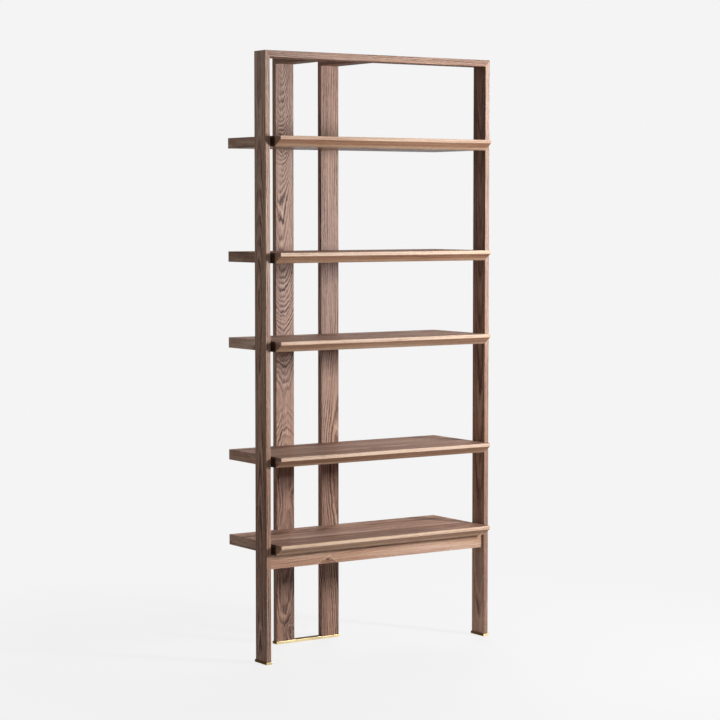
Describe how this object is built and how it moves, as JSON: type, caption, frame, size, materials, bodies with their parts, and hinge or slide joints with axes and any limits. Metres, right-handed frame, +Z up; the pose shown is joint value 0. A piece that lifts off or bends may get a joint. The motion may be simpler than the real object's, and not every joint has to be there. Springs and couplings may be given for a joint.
{
  "type": "bookcase",
  "caption": "Open walnut bookcase with a slim front portal, off-centre back posts, bevel-edged shelves at alternating spacings and brass foot plates.",
  "frame": {"origin": "on the floor, in the middle of the bookcase's box", "axes": "+X to the right seen from the front, +Y to the back, +Z up; the front faces -Y"},
  "size_m": [1.046, 0.403, 2.3],
  "materials": {
    "walnut_frame": "satin open-pore oil on solid walnut",
    "walnut_shelf": "satin open-pore oil on walnut boards, grain along the shelf",
    "walnut_edge": "satin open-pore oil on solid walnut with crisp edges",
    "brass": "satin brushed brass",
    "beech": "plain, glued in",
    "steel": "zinc plated",
    "bronze": "dark bronzed brass"
  },
  "bodies": {
    "root": {"front_upright_left": "walnut_frame", "front_upright_right": "walnut_frame", "front_top_rail": "walnut_frame", "front_apron": "walnut_frame", "back_post_left": "walnut_frame", "back_post_right": "walnut_frame", "back_rail_left": "walnut_frame", "back_rail_right": "walnut_frame", "shelf_panel_1": "walnut_shelf", "shelf_panel_2": "walnut_shelf", "shelf_panel_3": "walnut_shelf", "shelf_panel_4": "walnut_shelf", "shelf_panel_5": "walnut_shelf", "shelf_edge_1": "walnut_edge", "shelf_edge_2": "walnut_edge", "shelf_edge_3": "walnut_edge", "shelf_edge_4": "walnut_edge", "shelf_edge_5": "walnut_edge", "front_foot_left": "brass", "front_foot_right": "brass", "back_foot_bar": "brass", "front_corner_tenons": "beech", "back_corner_tenons": "beech", "back_rail_tenons": "beech", "apron_dowels": "beech", "shelf_end_bolts": "steel", "shelf_end_cams": "steel", "shelf_inserts": "steel", "foot_screws": "steel", "shelf_end_bushes": "bronze", "post_bolts": "bronze"}
  },
  "joints": []
}
